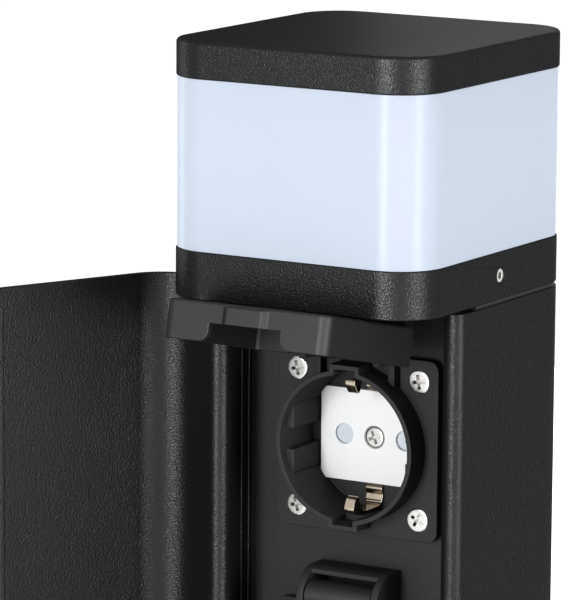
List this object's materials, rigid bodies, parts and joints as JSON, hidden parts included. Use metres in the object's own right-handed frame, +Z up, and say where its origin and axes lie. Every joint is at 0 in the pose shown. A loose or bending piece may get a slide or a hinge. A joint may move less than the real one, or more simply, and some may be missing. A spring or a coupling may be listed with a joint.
{
  "type": "garden socket post",
  "caption": "Square garden post with a side-hinged door over a panel of lidded power sockets and a light head with an opal diffuser on top.",
  "frame": {"origin": "middle of the underside of the foot plate", "axes": "+Z up along the post, -Y towards the open front, +X to the viewer's right; the door hinges on the -X side"},
  "size_m": [0.1287, 0.1282, 0.4],
  "materials": {
    "black_metal": "black powder coat, fine texture",
    "panel_metal": "black powder coat, matt",
    "cast_black": "black coated casting",
    "frame_plastic": "dark grey, fine moulded texture",
    "lid_plastic": "dark grey, smooth satin",
    "white_plastic": "white, satin",
    "shutter_plastic": "pale grey",
    "grey_plastic": "mid grey",
    "opal": "opal white",
    "black_plastic": "black",
    "rubber": "black, matt",
    "zinc_steel": "zinc plated",
    "spring_metal": "nickel plated bronze",
    "brass": "plain",
    "aluminium": "mill finish",
    "board": "white solder mask",
    "chip": "yellow phosphor"
  },
  "bodies": {
    "post": {"foot_plate": "cast_black", "foot_screws": "zinc_steel", "gland_body": "black_plastic", "gland_seal": "rubber", "gland_nut": "black_plastic", "earth_stud": "brass", "post_body": "black_metal", "socket_panel": "panel_metal", "terminal_rail": "zinc_steel", "terminal_block": "grey_plastic", "terminal_screws": "zinc_steel", "mounting_screws": "zinc_steel", "led_driver": "white_plastic", "head_plate": "black_metal", "head_screws": "zinc_steel", "head_seal": "rubber", "head_bracket": "aluminium", "lamp_base": "black_metal", "grub_screws": "zinc_steel", "lower_gasket": "rubber", "diffuser": "opal", "upper_gasket": "rubber", "lamp_cap": "black_metal", "led_tray": "aluminium", "led_board": "board", "led_chips": "chip", "spacer_tube": "aluminium", "tie_rod": "zinc_steel", "door_pins": "zinc_steel", "door_catch": "black_plastic", "socket_frame_1": "frame_plastic", "socket_gasket_1": "rubber", "frame_screws_1": "zinc_steel", "socket_insert_1": "white_plastic", "insert_screw_1": "zinc_steel", "earth_clips_1": "spring_metal", "socket_contacts_1": "brass", "terminal_housing_1": "grey_plastic", "flap_pin_1": "zinc_steel", "socket_frame_2": "frame_plastic", "socket_gasket_2": "rubber", "frame_screws_2": "zinc_steel", "socket_insert_2": "white_plastic", "insert_screw_2": "zinc_steel", "earth_clips_2": "spring_metal", "socket_contacts_2": "brass", "terminal_housing_2": "grey_plastic", "flap_pin_2": "zinc_steel"},
    "door": {"door": "black_metal", "door_bushes": "black_plastic", "door_keeper": "zinc_steel"},
    "lid_1": {"flap_lid_1": "lid_plastic", "flap_seal_1": "rubber"},
    "left_shutter_1": {"shutter_left_1": "shutter_plastic"},
    "right_shutter_1": {"shutter_right_1": "shutter_plastic"},
    "lid_2": {"flap_lid_2": "lid_plastic", "flap_seal_2": "rubber"},
    "left_shutter_2": {"shutter_left_2": "shutter_plastic"},
    "right_shutter_2": {"shutter_right_2": "shutter_plastic"}
  },
  "joints": [
    {"name": "door_hinge", "type": "hinge", "parent": "post", "child": "door", "pos_m": [-0.0367, -0.0166, 0], "axis": [0, 0, 1], "range_deg": [0, 114.6]},
    {"name": "lid_1_hinge", "type": "hinge", "parent": "post", "child": "lid_1", "pos_m": [0, -0.0114, 0.3169], "axis": [1, 0, 0], "range_deg": [0, 103]},
    {"name": "lid_2_hinge", "type": "hinge", "parent": "post", "child": "lid_2", "pos_m": [0, -0.0114, 0.2464], "axis": [1, 0, 0], "range_deg": [-103, 0]},
    {"name": "left_shutter_1_slide", "type": "slide", "parent": "post", "child": "left_shutter_1", "axis": [0, 0, 1], "range_m": [0, 0.0062], "stiffness_N_per_m": 40},
    {"name": "right_shutter_1_slide", "type": "slide", "parent": "post", "child": "right_shutter_1", "axis": [0, 0, 1], "range_m": [0, 0.0062], "stiffness_N_per_m": 40},
    {"name": "left_shutter_2_slide", "type": "slide", "parent": "post", "child": "left_shutter_2", "axis": [0, 0, 1], "range_m": [0, 0.0062], "stiffness_N_per_m": 40},
    {"name": "right_shutter_2_slide", "type": "slide", "parent": "post", "child": "right_shutter_2", "axis": [0, 0, 1], "range_m": [0, 0.0062], "stiffness_N_per_m": 40}
  ],
  "couplings": [
    {"joint": "lid_1_hinge", "follows": "door_hinge", "ratio": 0.8987}
  ]
}
